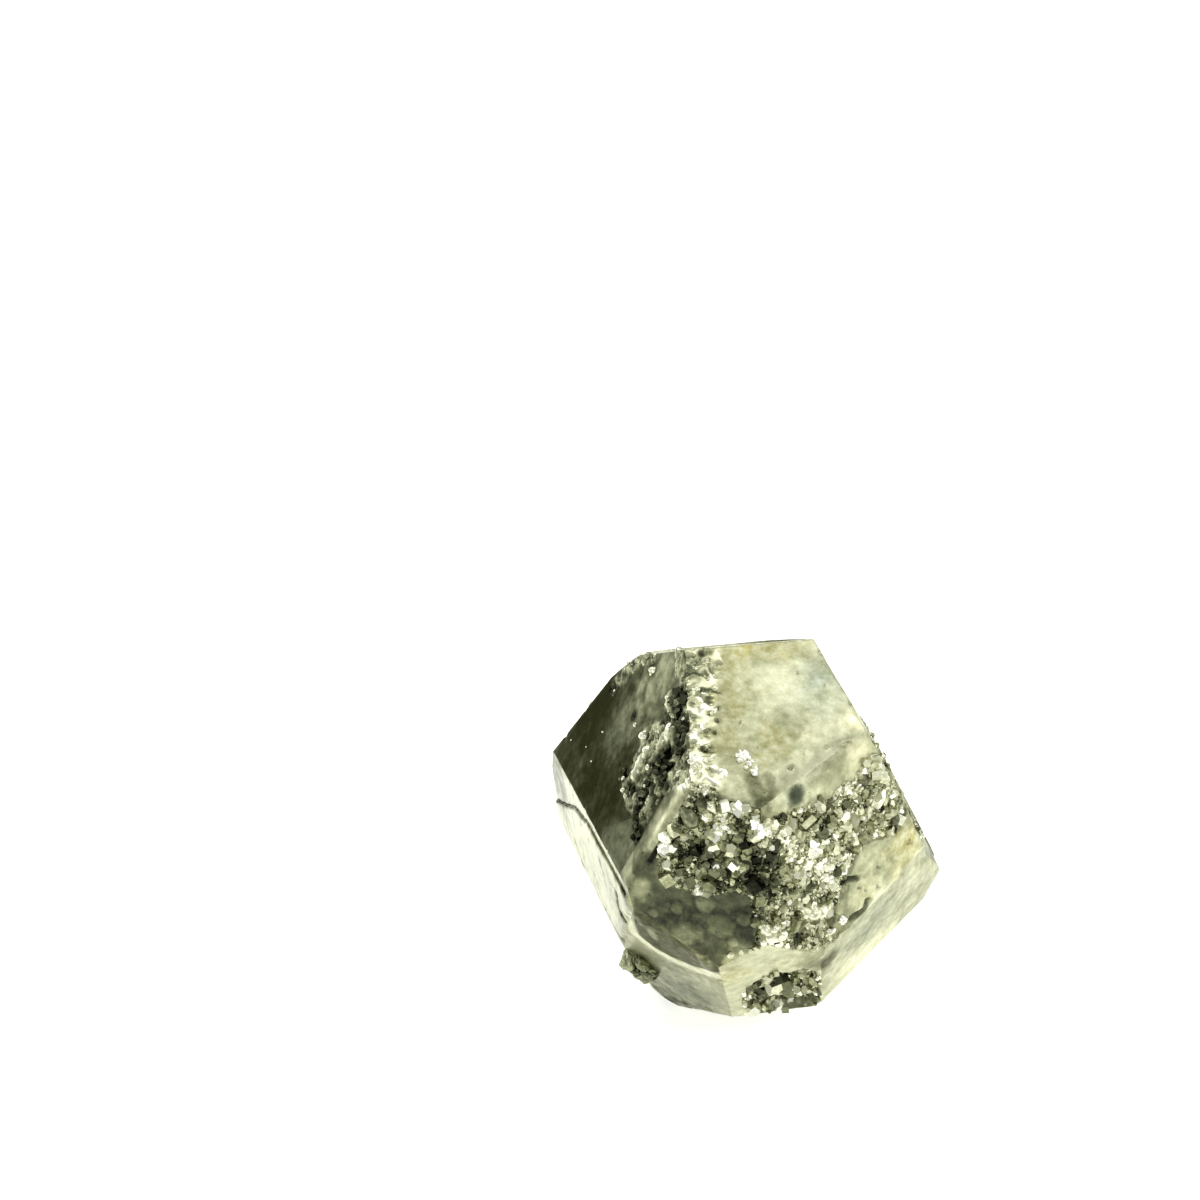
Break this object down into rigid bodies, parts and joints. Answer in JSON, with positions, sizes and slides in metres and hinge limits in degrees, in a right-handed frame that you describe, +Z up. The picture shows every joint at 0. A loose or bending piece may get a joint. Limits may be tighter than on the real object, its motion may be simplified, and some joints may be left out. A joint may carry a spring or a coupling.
{
  "type": "pyrite crystal",
  "caption": "Loose pyrite crystal: an uneven twelve-faced crystal with worn corners, a belt of small crystals over its front and a dark nodule at one foot, lying on its own flat face.",
  "frame": {"origin": "on the surface that the crystal rests on, under the middle of its bounding box", "axes": "+Z up, away from the resting face; -Y towards the face with the belt of small crystals"},
  "size_m": [0.039, 0.0399, 0.0383],
  "materials": {
    "pyrite": "satin"
  },
  "bodies": {
    "root": {"pyrite_crystal": "pyrite"}
  },
  "joints": []
}
